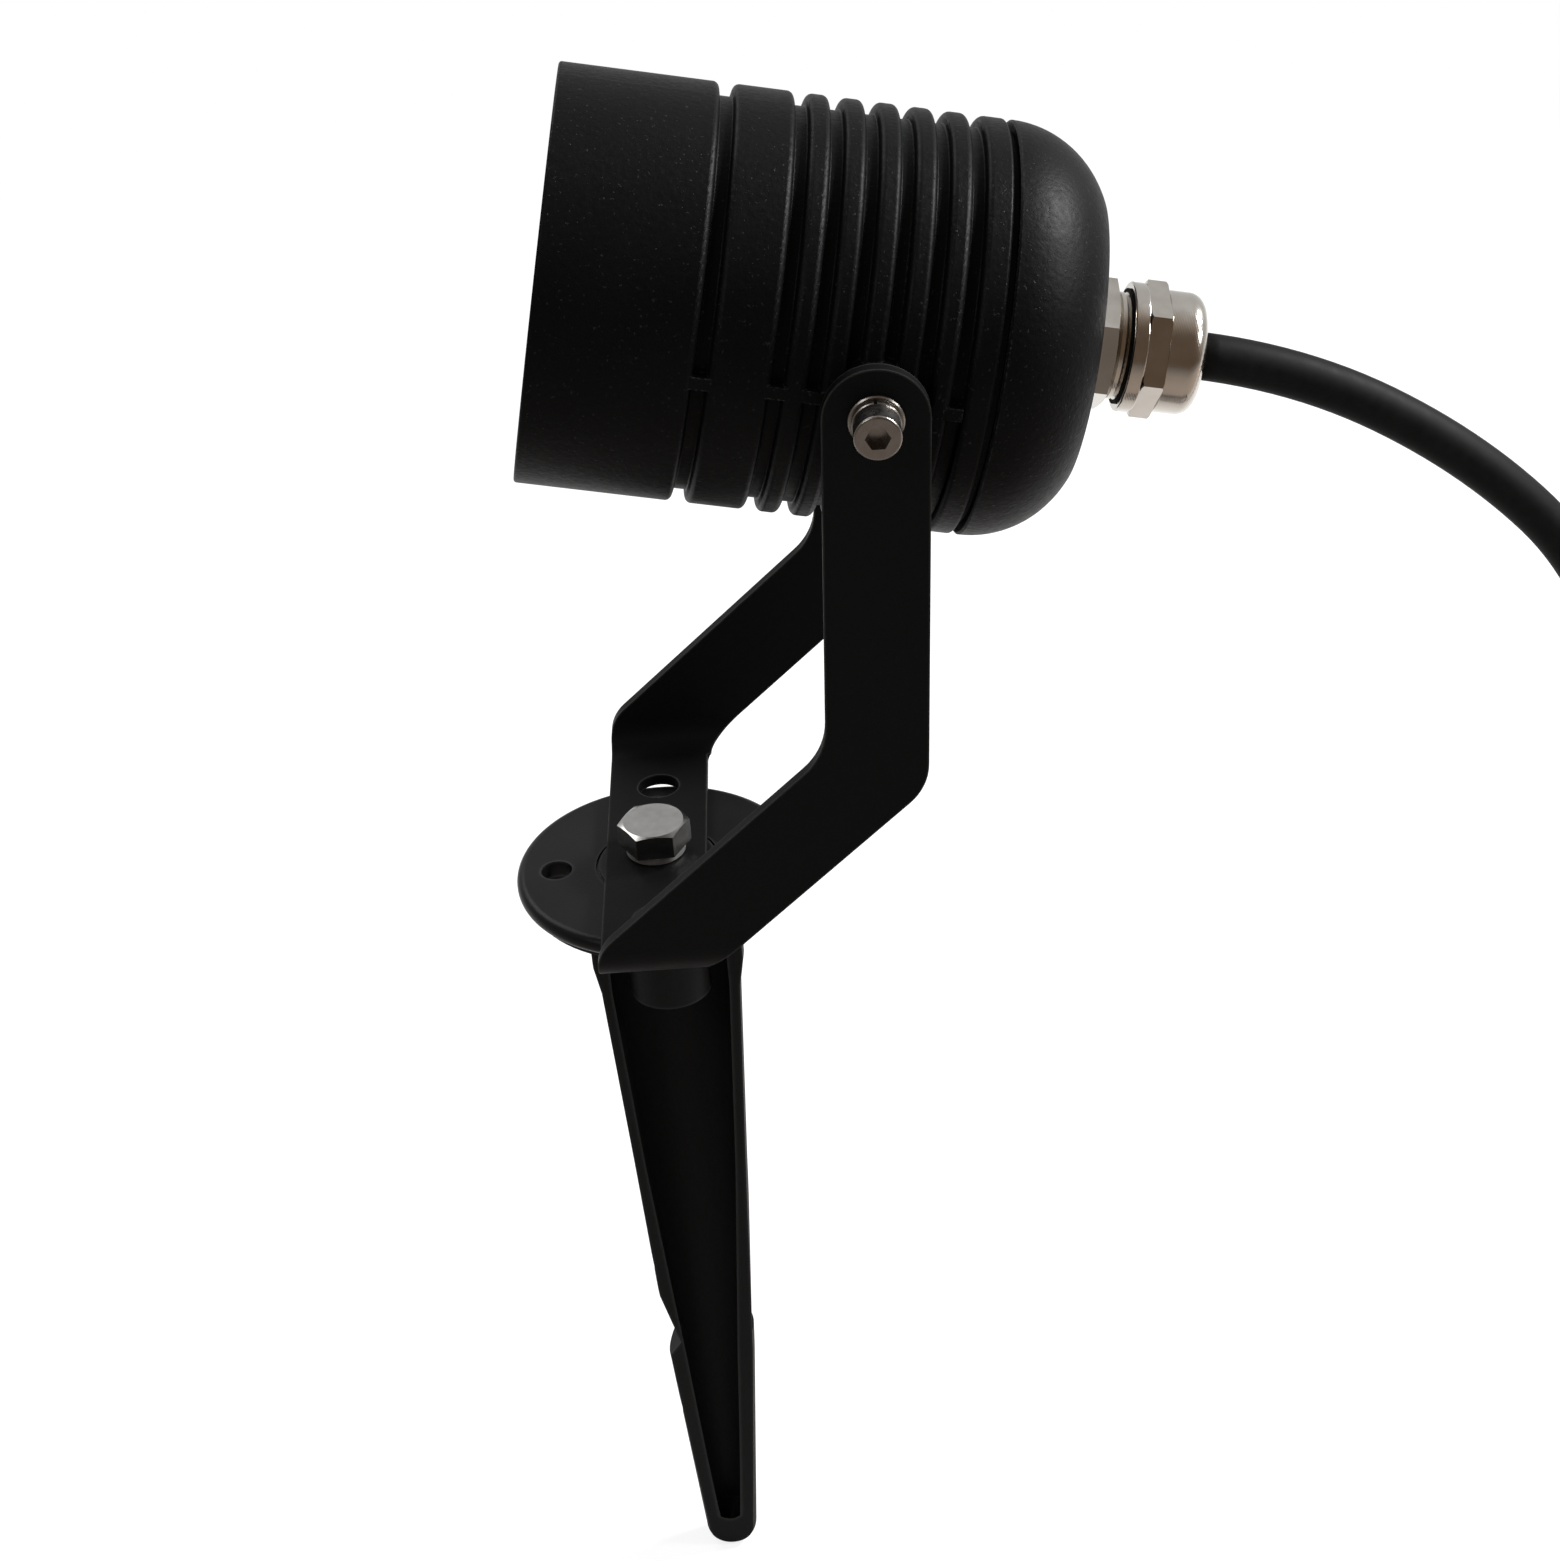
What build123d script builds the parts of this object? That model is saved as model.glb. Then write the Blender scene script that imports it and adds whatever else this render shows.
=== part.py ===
"""Garden spike spotlight: ground spike, swivelling yoke and a ribbed tilting lamp head on a rubber cable.

Millimetres, +Z up. The origin is the centre of the underside of the spike's flange, which is the
ground line. The lamp points towards -X and slightly up, its cable gland towards +X, and the open
side of the spike faces -Y.
"""

import os
from math import cos, pi, radians, sin, tan

from build123d import *

# ---------------------------------------------------------------- driving dimensions
fit = 0.05  # radial clearance of screws, shafts and pieces seated in bores
free_gap = 0.1  # radial clearance of larger seated pieces

# ground spike
flange_radius = 27.3
flange_thickness = 1.6
flange_edge = 0.5
collar_radius = 16.1
collar_straight = 18.9
collar_height = 25.6
spike_open_y = -3.0  # the channel is open towards -Y beyond this plane
spike_wall = 2.2
spike_thick_wall = 3.3  # wall beside the barb
spike_root_radius = 15.0
spike_mid_radius = 12.5
spike_mid_z = -74.6
spike_barb_radius = 9.9
spike_barb_height = 62.5  # above the lowest point
spike_tip_radius = 6.0
spike_tip_height = 5.5
spike_length = 193.6
tip_floor = 4.0  # solid plastic under the channel at the tip
barb_depth = 3.1
barb_rise = 21.0  # height over which the barb's notch runs out
barb_lip = 4.3
back_step_depth = 0.5  # small step on the edge opposite the barb
back_step_rise = 6.5  # height of that step above the barb
back_step_run = 40.0
boss_wall = 1.137
boss_length = 26.6

# mounting disc
disc_radius = 29.4
disc_thickness = 3.8
disc_rim = 1.8
seat_radius = 12.2
seat_height = 0.3
seat_groove_width = 0.6
seat_groove_depth = 0.5
screw_hole_radius = 3.25
screw_hole_circle = 21.0  # radius of the circle that the holes lie on
screw_hole_count = 4
screw_hole_angle = 182.5

# yoke bracket
strip_thickness = 2.5
arm_gap = 3.1  # between the lamp's side and the arm
fold_radius = 8.3
base_width = 20.8
slot_hole_radius = 4.4
slot_hole_y = 24.2
pivot_x = 50.0
pivot_z = 124.7
arm_width = 19.3
arm_lean = 2.9
brace_angle = 41.8
brace_width = 18.9
brace_rise = 4.05  # distance of the brace's middle line from the centre of the disc's top
brace_foot_fillet = 9.8
brace_top_fillet = 14.0
arm_back_fillet = 12.0
foot_back_fillet = 4.0

# swivel bolt
bolt_radius = 4.0
bolt_length = 30.0
bolt_across_flats = 13.0
bolt_head_height = 5.3
bolt_turn = 2.9
bolt_chamfer = 0.9
washer_outer_radius = 6.15
washer_thickness = 2.1
washer_split = 1.2
washer_bevel = 0.4
nut_height = 6.5
nut_top_depth = 13.5

# pivot fasteners
screw_radius = 2.5
screw_head_radius = 4.25
screw_head_height = 5.0
screw_socket = 4.0
screw_socket_depth = 2.6
screw_reach = 14.3  # thread length beyond the arm's outer face
flat_washer_radius = 5.0
flat_washer_thickness = 1.0
lock_washer_radius = 4.4
lock_washer_thickness = 1.3
small_bevel = 0.25
friction_washer_thickness = 1.5
friction_washer_radius = 8.0

# lamp head: distances along its axis are measured from the pivot, positive towards the cable
head_tilt = 12.07
head_radius = 38.4
head_front = -61.5
head_rear = 20.3
rim_edge = 0.6
rib_depth = 2.4
rib_pitch = 6.36
rib_groove = 2.5
rib_groove_count = 6
rib_end = 5.95  # from the last groove to the housing's rear end
rib_round = 1.1
groove_round = 0.4
hood_length = 30.55  # from the front rim to the wide groove behind the hood
hood_groove_width = 2.7
web_width = 2.4
web_overrun = 0.7  # length of the web in front of the wide groove
housing_wall = 3.0
recess_depth = 5.5
partition_front = -22.0
partition_rear = -14.0
rear_wall = 4.0
pivot_boss_radius = 8.0
pivot_boss_depth = 5.0  # inside the chamber's wall

# window and optics
glass_thickness = 3.9
glass_edge = 0.4
gasket_thickness = 1.0
gasket_side = 0.5
rim_wall = 1.6
board_radius = 17.0
board_thickness = 1.6
emitter_radius = 6.0
emitter_thickness = 1.0
board_screw_inset = 4.3
board_screw_radius = 1.5
board_screw_head_radius = 2.75
board_screw_head_height = 2.0
board_screw_length = 7.0
wire_inset = 5.0
wire_radius = 0.8
wire_stub = 0.8
reflector_wall = 1.0
reflector_foot_gap = 1.0
reflector_foot_height = 2.8
reflector_lip = 2.0
reflector_bulge = 3.2

# driver
driver_length = 22.0
driver_width = 40.0
driver_height = 28.0
driver_edge = 1.0
ear_height = 8.0
ear_width = 16.0
ear_thickness = 2.0
block_length = 10.0
block_width = 24.0
block_height = 12.0

# rear cover
joint_width = 1.2
joint_depth = 2.2
cover_spigot = 9.5
cover_wall = 2.5
cover_length = 20.0
cover_round = 20.0
cover_slope = 1.7  # height of the shallow cone round the gland
cover_back_radius = 11.65
cover_back_wall = 3.0

# cable gland
gland_thread_radius = 10.0
locknut_across_flats = 22.0
locknut_thickness = 4.1
locknut_turn = 22.0
gland_neck = 2.3
thread_pitch = 1.5
thread_depth = 0.5
thread_half_width = 0.38
gland_seal_thickness = 0.4
gland_seal_ring = 0.8
gland_collar_radius = 12.1
gland_collar_thickness = 2.9
insert_ledge = 2.0
gland_inside = 7.0
dome_across_flats = 22.2
dome_hex_height = 4.0
dome_turn = 8.0
dome_radius = 11.4
dome_height = 11.3
dome_wall = 2.0
mouth_gap = 0.5  # between the cable and the gland's mouth
dome_round = 3.0
insert_length = 7.0
finger_wall = 1.1
claw_thickness = 2.0

# cable
cable_radius = 4.5
cable_inside = 28.0  # where the sheath ends inside the head
core_radius = 1.4
cable_length_out = 0.2  # from the gland's mouth to the start of the free cable
cable_straight = 20.0  # first run of the free cable, in line with the gland
tie_thickness = 0.8
tie_width = 3.6
tie_gap = 0.12
coil_outer = 57.2
coil_gap = 1.6
coil_x = 144.8
coil_y = -100.0
core_straight = 3.0
core_bend = 10.0
core_bend_radius = 8.5
core_run = 26.0
ferrule_collar_radius = 1.6
ferrule_collar = 6.0
ferrule_pin_radius = 0.8
ferrule_pin = 8.0

# ---------------------------------------------------------------- derived places
floor_z = -spike_length
spike_barb_z = floor_z + spike_barb_height
spike_tip_z = floor_z + spike_tip_height
disc_bottom = flange_thickness
disc_top = disc_bottom + disc_thickness
strip_bottom = disc_top + seat_height
strip_top = strip_bottom + strip_thickness
bolt_seat = strip_top + washer_thickness
arm_inner = head_radius + arm_gap
arm_outer = arm_inner + strip_thickness
yoke_width = 2 * arm_outer
boss_face = arm_inner - friction_washer_thickness
tilt_cos = cos(radians(head_tilt))
tilt_sin = sin(radians(head_tilt))
head_direction = Vector(tilt_cos, 0, -tilt_sin)
pivot = Vector(pivot_x, 0, pivot_z)
head_axis = Axis(tuple(pivot), tuple(head_direction))
head_section = Plane(origin=pivot, x_dir=head_direction, z_dir=(0, -1, 0))
rib_floor_radius = head_radius - rib_depth
rib_first_groove = head_rear - rib_end - rib_pitch * (rib_groove_count - 1)
hood_groove = head_front + hood_length
web_front = hood_groove - hood_groove_width / 2 - web_overrun
web_rear = head_rear - rib_end + rib_groove / 2
chamber_radius = rib_floor_radius - housing_wall
rear_bore_radius = rib_floor_radius - rear_wall
pivot_boss_inner = chamber_radius - pivot_boss_depth
window_seat = head_front + recess_depth
recess_radius = head_radius - rim_wall
glass_radius = recess_radius - fit - gasket_side - fit
glass_back = window_seat - gasket_thickness
glass_front = glass_back - glass_thickness
board_front = partition_front - board_thickness
board_screw_offset = board_radius - board_screw_inset
wire_offset = board_radius - wire_inset
reflector_foot_radius = emitter_radius + reflector_foot_gap
reflector_mouth_radius = chamber_radius - reflector_lip
driver_rear = partition_rear + driver_length
block_rear = driver_rear + block_length
joint_floor_radius = head_radius - joint_depth
cover_front = head_rear + joint_width
cover_back = cover_front + cover_length
cover_shoulder = cover_back - cover_slope
locknut_rear = cover_back + locknut_thickness
neck_rear = locknut_rear + gland_neck
seal_rear = neck_rear + gland_seal_thickness
dome_front = seal_rear + gland_collar_thickness
dome_rear = dome_front + dome_height
dome_bore = dome_radius - dome_wall
dome_mouth_radius = cable_radius + mouth_gap
insert_radius = dome_bore - 2 * fit - finger_wall
gland_inner_radius = insert_radius - insert_ledge
core_spread = (2 * ferrule_collar_radius + free_gap) / 3**0.5
coil_pitch = 2 * cable_radius + coil_gap
cable_z = floor_z + tie_thickness + tie_gap + cable_radius


def head_plane(distance):
    """The plane square to the lamp's axis at a distance from the pivot: x along +Y, y up."""
    origin = pivot + head_direction * distance
    return Plane(origin=origin, x_dir=(0, 1, 0), z_dir=head_direction)


def arm_plane(y, outwards):
    """The plane square to the pivot at y: its normal points outwards along +Y or -Y."""
    return Plane(origin=(pivot_x, y, pivot_z), x_dir=(outwards, 0, 0), z_dir=(0, outwards, 0))


os.makedirs("parts", exist_ok=True)

# ---------------------------------------------------------------- ground spike
root_z = -collar_height
tip_mid = (spike_tip_radius * 0.72, (spike_tip_z - spike_length * 2) / 3 - 0.2)
outer_mid_wall = spike_mid_radius - spike_wall
inner_barb_radius = spike_barb_radius - spike_thick_wall
inner_tip_radius = spike_tip_radius - spike_wall
boss_bottom = -boss_length
pocket_flats = bolt_across_flats / 2 + fit
boss_radius = pocket_flats / cos(radians(30)) + boss_wall
notch_top = spike_barb_z + barb_rise
step_z = spike_barb_z + back_step_rise


def blade_radius(z):
    """Outer radius of the blade at a height between the barb and the bend in its taper."""
    share = (z - spike_barb_z) / (spike_mid_z - spike_barb_z)
    return spike_barb_radius + (spike_mid_radius - spike_barb_radius) * share


notch_top_x = blade_radius(notch_top)
with BuildPart() as ground_spike:
    with BuildSketch(Plane.XZ):
        with BuildLine():
            Polyline(
                (0, 0),
                (collar_radius, 0),
                (collar_radius, -collar_straight),
                (spike_root_radius, root_z),
                (spike_mid_radius, spike_mid_z),
                (spike_barb_radius, spike_barb_z),
                (spike_tip_radius, spike_tip_z),
            )
            ThreePointArc((spike_tip_radius, spike_tip_z), tip_mid, (0, -spike_length))
            Line((0, -spike_length), (0, 0))
        make_face()
    revolve(axis=Axis.Z)
    with BuildSketch(Plane.XZ):
        with BuildLine():
            Polyline(
                (0, 0),
                (spike_root_radius - spike_wall, 0),
                (spike_root_radius - spike_wall, root_z),
                (outer_mid_wall, spike_mid_z),
                (inner_barb_radius, spike_barb_z),
                (inner_tip_radius, spike_tip_z + tip_floor),
                (0, spike_tip_z),
                (0, 0),
            )
        make_face()
    revolve(axis=Axis.Z, mode=Mode.SUBTRACT)
    with BuildSketch(Plane.XY):
        with Locations((0, spike_open_y)):
            Rectangle(
                4 * collar_radius, 2 * collar_radius, align=(Align.CENTER, Align.MAX)
            )
    extrude(amount=-spike_length * 2, mode=Mode.SUBTRACT)
    with BuildSketch(Plane.XZ):
        with BuildLine():
            Polyline(
                (-notch_top_x, notch_top),
                (-(spike_barb_radius - barb_depth), spike_barb_z + barb_lip),
                (-spike_barb_radius, spike_barb_z),
                (-spike_barb_radius - spike_wall, spike_barb_z),
                (-notch_top_x - spike_wall, notch_top),
                (-notch_top_x, notch_top),
            )
        make_face()
    extrude(amount=collar_radius, both=True, mode=Mode.SUBTRACT)
    with BuildSketch(Plane.XZ):
        with BuildLine():
            Polyline(
                (blade_radius(step_z + back_step_run), step_z + back_step_run),
                (blade_radius(step_z) - back_step_depth, step_z),
                (blade_radius(step_z) + spike_wall, step_z),
                (blade_radius(step_z) + spike_wall, step_z + back_step_run),
                (blade_radius(step_z + back_step_run), step_z + back_step_run),
            )
        make_face()
    extrude(amount=collar_radius, both=True, mode=Mode.SUBTRACT)
    with BuildSketch(Plane.XY):
        Circle(flange_radius)
    extrude(amount=flange_thickness)
    fillet(ground_spike.edges().group_by(Axis.Z)[-1], flange_edge)
    with BuildSketch(Plane.XY):
        Circle(boss_radius)
    extrude(amount=boss_bottom)
    with BuildSketch(Plane.XY.offset(flange_thickness)):
        Circle(bolt_radius + fit)
        with PolarLocations(screw_hole_circle, screw_hole_count, screw_hole_angle):
            Circle(screw_hole_radius)
    extrude(amount=-flange_thickness, mode=Mode.SUBTRACT)
    with BuildSketch(Plane.XY):
        Circle(bolt_radius + fit)
    extrude(amount=boss_bottom, mode=Mode.SUBTRACT)
    with BuildSketch(Plane.XY.offset(-nut_top_depth)):
        RegularPolygon(pocket_flats, 6, major_radius=False, rotation=bolt_turn)
    extrude(amount=boss_bottom + nut_top_depth, mode=Mode.SUBTRACT)
ground_spike.part.label = "ground_spike"
export_step(ground_spike.part, "parts/ground_spike.step")

# ---------------------------------------------------------------- mounting disc
with BuildPart() as mounting_disc:
    with BuildSketch(Plane.XY.offset(disc_bottom)):
        Circle(disc_radius)
    extrude(amount=disc_thickness)
    fillet(mounting_disc.edges(), disc_rim)
    with BuildSketch(Plane.XY.offset(disc_top)):
        Circle(seat_radius)
    extrude(amount=seat_height)
    with BuildSketch(Plane.XY.offset(disc_top)):
        Circle(seat_radius + seat_groove_width)
        Circle(seat_radius, mode=Mode.SUBTRACT)
    extrude(amount=-seat_groove_depth, mode=Mode.SUBTRACT)
    with BuildSketch(Plane.XY.offset(disc_bottom)):
        Circle(bolt_radius + fit)
        with PolarLocations(screw_hole_circle, screw_hole_count, screw_hole_angle):
            Circle(screw_hole_radius)
    extrude(amount=disc_thickness + seat_height, mode=Mode.SUBTRACT)
mounting_disc.part.label = "mounting_disc"
export_step(mounting_disc.part, "parts/mounting_disc.step")

# ---------------------------------------------------------------- swivel bolt, washer and nut
bolt_top = bolt_seat + bolt_head_height
bolt_corner = bolt_across_flats / 2 / cos(radians(30))
with BuildPart() as hex_bolt:
    with BuildSketch(Plane.XY.offset(bolt_seat)):
        RegularPolygon(bolt_across_flats / 2, 6, major_radius=False, rotation=bolt_turn)
    extrude(amount=bolt_head_height)
    with BuildSketch(Plane.XZ):
        with BuildLine():
            Polyline(
                (0, bolt_seat),
                (bolt_corner + fit, bolt_seat),
                (bolt_corner + fit, bolt_top - bolt_chamfer * tan(radians(30))),
                (bolt_across_flats / 2 - bolt_chamfer / 3, bolt_top),
                (0, bolt_top),
                (0, bolt_seat),
            )
        make_face()
    revolve(axis=Axis.Z, mode=Mode.INTERSECT)
    with BuildSketch(Plane.XY.offset(bolt_seat)):
        Circle(bolt_radius)
    extrude(amount=-bolt_length)
    chamfer(hex_bolt.edges().group_by(Axis.Z)[0], bolt_radius / 8)
hex_bolt.part.label = "hex_bolt"
export_step(hex_bolt.part, "parts/hex_bolt.step")

with BuildPart() as spring_washer:
    with BuildSketch(Plane.XY.offset(strip_top)):
        Circle(washer_outer_radius)
    extrude(amount=washer_thickness)
    chamfer(spring_washer.edges(), washer_bevel)
    with BuildSketch(Plane.XY.offset(strip_top)):
        Circle(bolt_radius + fit)
        with Locations((0, washer_outer_radius)):
            Rectangle(washer_split, washer_outer_radius * 1.2)
    extrude(amount=washer_thickness, mode=Mode.SUBTRACT)
spring_washer.part.label = "spring_washer"
export_step(spring_washer.part, "parts/spring_washer.step")

with BuildPart() as captive_nut:
    with BuildSketch(Plane.XY.offset(-nut_top_depth)):
        RegularPolygon(bolt_across_flats / 2, 6, major_radius=False, rotation=bolt_turn)
        Circle(bolt_radius + fit, mode=Mode.SUBTRACT)
    extrude(amount=-nut_height)
captive_nut.part.label = "captive_nut"
export_step(captive_nut.part, "parts/captive_nut.step")

# ---------------------------------------------------------------- yoke bracket
lean = radians(arm_lean)
slope = radians(brace_angle)
arm_left = (pivot_x - arm_width / 2 * cos(lean), pivot_z + arm_width / 2 * sin(lean))
arm_right = (pivot_x + arm_width / 2 * cos(lean), pivot_z - arm_width / 2 * sin(lean))


def brace_z(x, side):
    """Height of the brace's edge at x: side is +1 for the upper edge and -1 for the lower one."""
    return disc_top + (brace_rise + side * brace_width / 2 + x * sin(slope)) / cos(slope)


def brace_meets_arm(start, side):
    """Where the brace's edge meets the arm's edge that passes through start."""
    rise = start[1] - brace_z(start[0], side)
    down = rise / (cos(lean) - sin(lean) * tan(slope))
    return (start[0] - down * sin(lean), start[1] - down * cos(lean))


half_base = base_width / 2
foot_front = (-half_base, brace_z(-half_base, 1))
foot_back = (half_base, brace_z(half_base, -1))
arm_top = pivot_z + arm_width
below = strip_bottom - strip_thickness * 3
with BuildPart() as yoke_bracket:
    with BuildSketch(Plane.YZ) as bent_section:
        with Locations((0, strip_bottom)):
            Rectangle(yoke_width, arm_top - strip_bottom, align=(Align.CENTER, Align.MIN))
        fillet(bent_section.vertices().group_by(Axis.Y)[0], fold_radius)
    extrude(amount=pivot_x * 2, both=True)
    with BuildSketch(Plane.YZ) as hollow_section:
        with Locations((0, strip_top)):
            Rectangle(2 * arm_inner, arm_top, align=(Align.CENTER, Align.MIN))
        fillet(hollow_section.vertices().group_by(Axis.Y)[0], fold_radius - strip_thickness)
    extrude(amount=pivot_x * 2, both=True, mode=Mode.SUBTRACT)
    with BuildSketch(Plane.XZ):
        with BuildLine():
            FilletPolyline(
                arm_left,
                brace_meets_arm(arm_left, 1),
                foot_front,
                (-half_base, below),
                radius=[brace_top_fillet, brace_foot_fillet],
            )
            Line((-half_base, below), (half_base, below))
            FilletPolyline(
                (half_base, below),
                foot_back,
                brace_meets_arm(arm_right, -1),
                arm_right,
                radius=[foot_back_fillet, arm_back_fillet],
            )
            Line(arm_right, arm_left)
        make_face()
        with Locations((pivot_x, pivot_z)):
            Circle(arm_width / 2)
    extrude(amount=yoke_width, both=True, mode=Mode.INTERSECT)
    with BuildSketch(Plane.XY.offset(strip_bottom)):
        with Locations((half_base, 0)):
            Rectangle(
                base_width,
                yoke_width - 2 * fold_radius,
                align=(Align.MIN, Align.CENTER),
            )
    extrude(amount=strip_thickness, mode=Mode.SUBTRACT)
    with BuildSketch(Plane.XY.offset(strip_bottom)):
        Circle(bolt_radius + fit)
        with Locations((0, slot_hole_y), (0, -slot_hole_y)):
            Circle(slot_hole_radius)
    extrude(amount=strip_thickness, mode=Mode.SUBTRACT)
    with BuildSketch(Plane.XZ):
        with Locations((pivot_x, pivot_z)):
            Circle(screw_radius + fit)
    extrude(amount=yoke_width, both=True, mode=Mode.SUBTRACT)
yoke_bracket.part.label = "yoke_bracket"
export_step(yoke_bracket.part, "parts/yoke_bracket.step")

# ---------------------------------------------------------------- lamp housing
outline = [(head_front, recess_radius), (head_front, head_radius)]
rounds = [rim_edge]
groove_places = [(hood_groove, hood_groove_width)]
groove_places += [
    (rib_first_groove + rib_pitch * index, rib_groove) for index in range(rib_groove_count)
]
for place, width in groove_places:
    outline += [
        (place - width / 2, head_radius),
        (place - width / 2, rib_floor_radius),
        (place + width / 2, rib_floor_radius),
        (place + width / 2, head_radius),
    ]
    rounds += [rib_round, groove_round, groove_round, rib_round]
outline += [(head_rear, head_radius), (head_rear, rear_bore_radius)]
rounds += [rim_edge]
web_length = web_rear - web_front
with BuildPart() as finned_housing:
    with BuildSketch(head_section):
        with BuildLine():
            FilletPolyline(*outline, radius=rounds)
            Polyline(
                (head_rear, rear_bore_radius),
                (partition_rear, rear_bore_radius),
                (partition_rear, 0),
                (partition_front, 0),
                (partition_front, chamber_radius),
                (window_seat, chamber_radius),
                (window_seat, recess_radius),
                (head_front, recess_radius),
            )
        make_face()
    revolve(axis=head_axis)
    with BuildSketch(head_plane(web_front)):
        with Locations((-head_radius, 0), (head_radius, 0)):
            Rectangle(2 * (head_radius - rib_floor_radius) + 1, web_width)
        Circle(head_radius - fit, mode=Mode.INTERSECT)
    extrude(amount=web_length)
    for side in (1, -1):
        with BuildSketch(arm_plane(side * pivot_boss_inner, side)):
            Circle(pivot_boss_radius)
        extrude(amount=boss_face - pivot_boss_inner)
        with BuildSketch(arm_plane(side * boss_face, side)):
            Circle(screw_radius + fit)
        extrude(amount=-(screw_reach - (arm_outer - boss_face) + 1), mode=Mode.SUBTRACT)
    with BuildSketch(head_plane(partition_front)):
        with Locations((wire_offset, 0), (-wire_offset, 0)):
            Circle(wire_radius + free_gap)
        with Locations((0, board_screw_offset), (0, -board_screw_offset)):
            Circle(board_screw_radius + fit)
    extrude(amount=partition_rear - partition_front, mode=Mode.SUBTRACT)
    with BuildSketch(head_plane(partition_rear)):
        with Locations(
            (0, driver_height / 2 + ear_height / 2),
            (0, -driver_height / 2 - ear_height / 2),
        ):
            Circle(board_screw_radius + fit)
    extrude(amount=-board_screw_length + ear_thickness, mode=Mode.SUBTRACT)
finned_housing.part.label = "finned_housing"
export_step(finned_housing.part, "parts/finned_housing.step")

# ---------------------------------------------------------------- window
with BuildPart() as front_glass:
    with BuildSketch(head_plane(glass_front)):
        Circle(glass_radius)
    extrude(amount=glass_thickness)
    chamfer(front_glass.edges(), glass_edge)
front_glass.part.label = "front_glass"
export_step(front_glass.part, "parts/front_glass.step")

gasket_outer = recess_radius - fit
with BuildPart() as glass_gasket:
    with BuildSketch(head_section):
        with BuildLine():
            Polyline(
                (window_seat, chamber_radius),
                (window_seat, gasket_outer),
                (glass_front + glass_edge, gasket_outer),
                (glass_front + glass_edge, gasket_outer - gasket_side),
                (glass_back, gasket_outer - gasket_side),
                (glass_back, chamber_radius),
                (window_seat, chamber_radius),
            )
        make_face()
    revolve(axis=head_axis)
glass_gasket.part.label = "glass_gasket"
export_step(glass_gasket.part, "parts/glass_gasket.step")

# ---------------------------------------------------------------- light source
with BuildPart() as led_board:
    with BuildSketch(head_plane(board_front)):
        Circle(board_radius)
        with Locations((wire_offset, 0), (-wire_offset, 0)):
            Circle(wire_radius + free_gap, mode=Mode.SUBTRACT)
        with Locations((0, board_screw_offset), (0, -board_screw_offset)):
            Circle(board_screw_radius + fit, mode=Mode.SUBTRACT)
    extrude(amount=board_thickness)
led_board.part.label = "led_board"
export_step(led_board.part, "parts/led_board.step")

with BuildPart() as led_emitter:
    with BuildSketch(head_plane(board_front)):
        Circle(emitter_radius)
    extrude(amount=-emitter_thickness)
led_emitter.part.label = "led_emitter"
export_step(led_emitter.part, "parts/led_emitter.step")

foot_top = board_front - reflector_foot_height
mouth_seat = window_seat + reflector_wall
middle_s = (foot_top + mouth_seat) / 2
middle_r = (reflector_foot_radius + reflector_mouth_radius) / 2 + reflector_bulge
with BuildPart() as reflector:
    with BuildSketch(head_section):
        with BuildLine():
            Line((board_front, reflector_foot_radius), (foot_top, reflector_foot_radius))
            ThreePointArc(
                (foot_top, reflector_foot_radius),
                (middle_s, middle_r),
                (window_seat, reflector_mouth_radius),
            )
            Polyline(
                (window_seat, reflector_mouth_radius),
                (window_seat, chamber_radius - free_gap),
                (mouth_seat, chamber_radius - free_gap),
                (mouth_seat, reflector_mouth_radius + reflector_wall / 2),
            )
            ThreePointArc(
                (mouth_seat, reflector_mouth_radius + reflector_wall / 2),
                (middle_s + reflector_wall / 2, middle_r + reflector_wall),
                (foot_top, reflector_foot_radius + reflector_wall),
            )
            Polyline(
                (foot_top, reflector_foot_radius + reflector_wall),
                (board_front, reflector_foot_radius + reflector_wall),
                (board_front, reflector_foot_radius),
            )
        make_face()
    revolve(axis=head_axis)
reflector.part.label = "reflector"
export_step(reflector.part, "parts/reflector.step")

for name, up in (("board_screw_upper", 1), ("board_screw_lower", -1)):
    with BuildPart() as board_screw:
        with BuildSketch(head_plane(board_front)):
            with Locations((0, up * board_screw_offset)):
                Circle(board_screw_head_radius)
        extrude(amount=-board_screw_head_height)
        fillet(board_screw.edges().group_by(Axis(pivot, head_direction))[0], board_screw_head_height / 3)
        with BuildSketch(head_plane(board_front)):
            with Locations((0, up * board_screw_offset)):
                Circle(board_screw_radius)
        extrude(amount=board_screw_length)
    board_screw.part.label = name
    export_step(board_screw.part, "parts/" + name + ".step")

for name, side in (("led_wire_positive", 1), ("led_wire_negative", -1)):
    with BuildPart() as led_wire:
        with BuildSketch(head_plane(partition_rear)):
            with Locations((side * wire_offset, 0)):
                Circle(wire_radius)
        extrude(amount=board_front - wire_stub - partition_rear)
    led_wire.part.label = name
    export_step(led_wire.part, "parts/" + name + ".step")

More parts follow.
